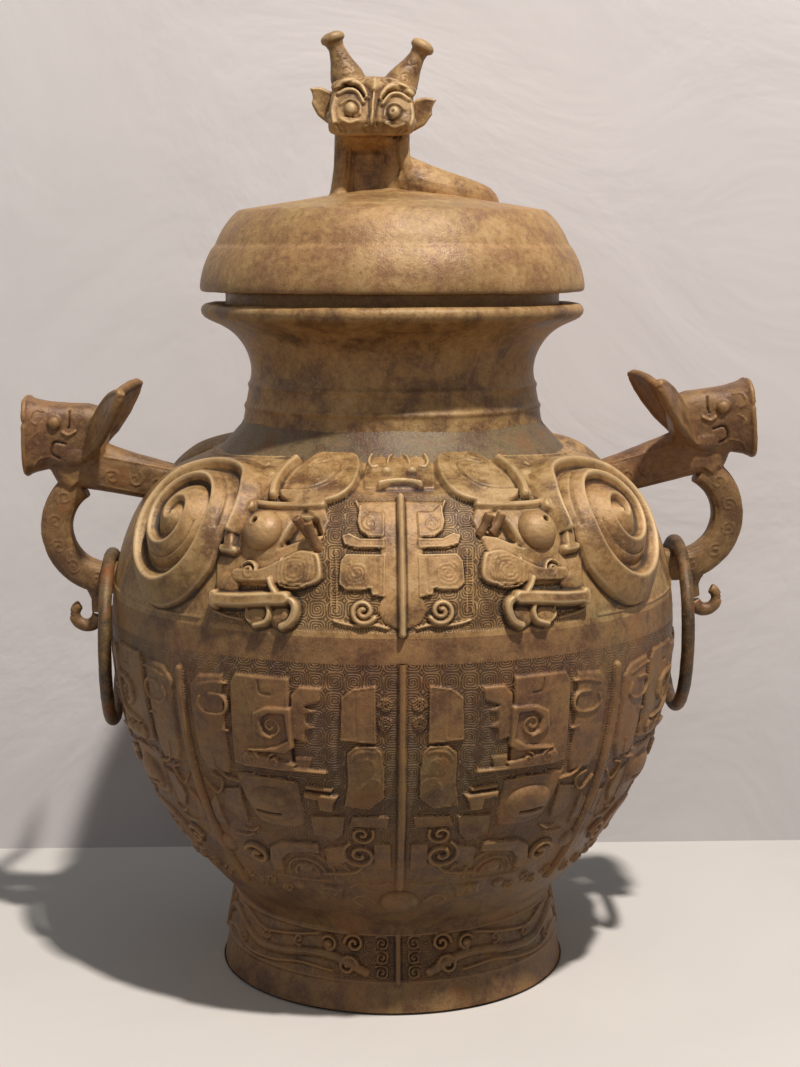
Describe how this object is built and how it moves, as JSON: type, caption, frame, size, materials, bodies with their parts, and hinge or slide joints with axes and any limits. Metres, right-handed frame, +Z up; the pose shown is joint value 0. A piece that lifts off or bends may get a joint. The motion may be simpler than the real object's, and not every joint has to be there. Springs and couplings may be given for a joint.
{
  "type": "bronze lei wine jar",
  "caption": "Lidded cast bronze wine jar on a ring foot, with beast-head handles carrying loose rings and a dragon on the lid.",
  "frame": {"origin": "middle of the ring foot's underside", "axes": "+Z up along the jar's axis, the mask side faces -Y, one handle on each side along X"},
  "size_m": [0.3513, 0.2895, 0.4494],
  "materials": {
    "body_bronze": "dull brown patina with ochre high places",
    "lid_bronze": "golden ochre patina, satin",
    "handle_bronze": "brown patina with rust red and pale green patches",
    "rusty_bronze": "rough red-brown patina"
  },
  "bodies": {
    "vessel": {"coil_horn_front_left": "body_bronze", "coil_horn_front_right": "body_bronze", "coil_horn_rear_left": "body_bronze", "coil_horn_rear_right": "body_bronze", "eye_boss_front_left": "body_bronze", "eye_boss_front_right": "body_bronze", "eye_boss_rear_left": "body_bronze", "eye_boss_rear_right": "body_bronze", "handle_ear_left_back": "handle_bronze", "handle_ear_left_front": "handle_bronze", "handle_ear_right_back": "handle_bronze", "handle_ear_right_front": "handle_bronze", "handle_head_left": "handle_bronze", "handle_head_right": "handle_bronze", "handle_loop_left": "handle_bronze", "handle_loop_right": "handle_bronze", "mask_peg_front_left": "body_bronze", "mask_peg_front_right": "body_bronze", "mask_peg_rear_left": "body_bronze", "mask_peg_rear_right": "body_bronze", "tipping_head": "body_bronze", "tipping_loop": "body_bronze", "vessel_body": "body_bronze"},
    "lid": {"dragon_coil": "lid_bronze", "dragon_ear_left": "lid_bronze", "dragon_ear_right": "lid_bronze", "dragon_head": "lid_bronze", "dragon_horn_left": "lid_bronze", "dragon_horn_right": "lid_bronze", "lid_shell": "lid_bronze"},
    "ring_left": {"ring_left": "rusty_bronze"},
    "ring_right": {"ring_right": "rusty_bronze"}
  },
  "joints": [
    {"name": "lid_lift", "type": "slide", "parent": "vessel", "child": "lid", "axis": [0, 0, 1], "range_m": [0, 0.2]},
    {"name": "ring_left_swing", "type": "hinge", "parent": "vessel", "child": "ring_left", "pos_m": [-0.1363, 0, 0.20145], "axis": [0, 1, 0], "range_deg": [0, 90]},
    {"name": "ring_right_swing", "type": "hinge", "parent": "vessel", "child": "ring_right", "pos_m": [0.13878, 0, 0.2064], "axis": [0, -1, 0], "range_deg": [0, 90]}
  ]
}
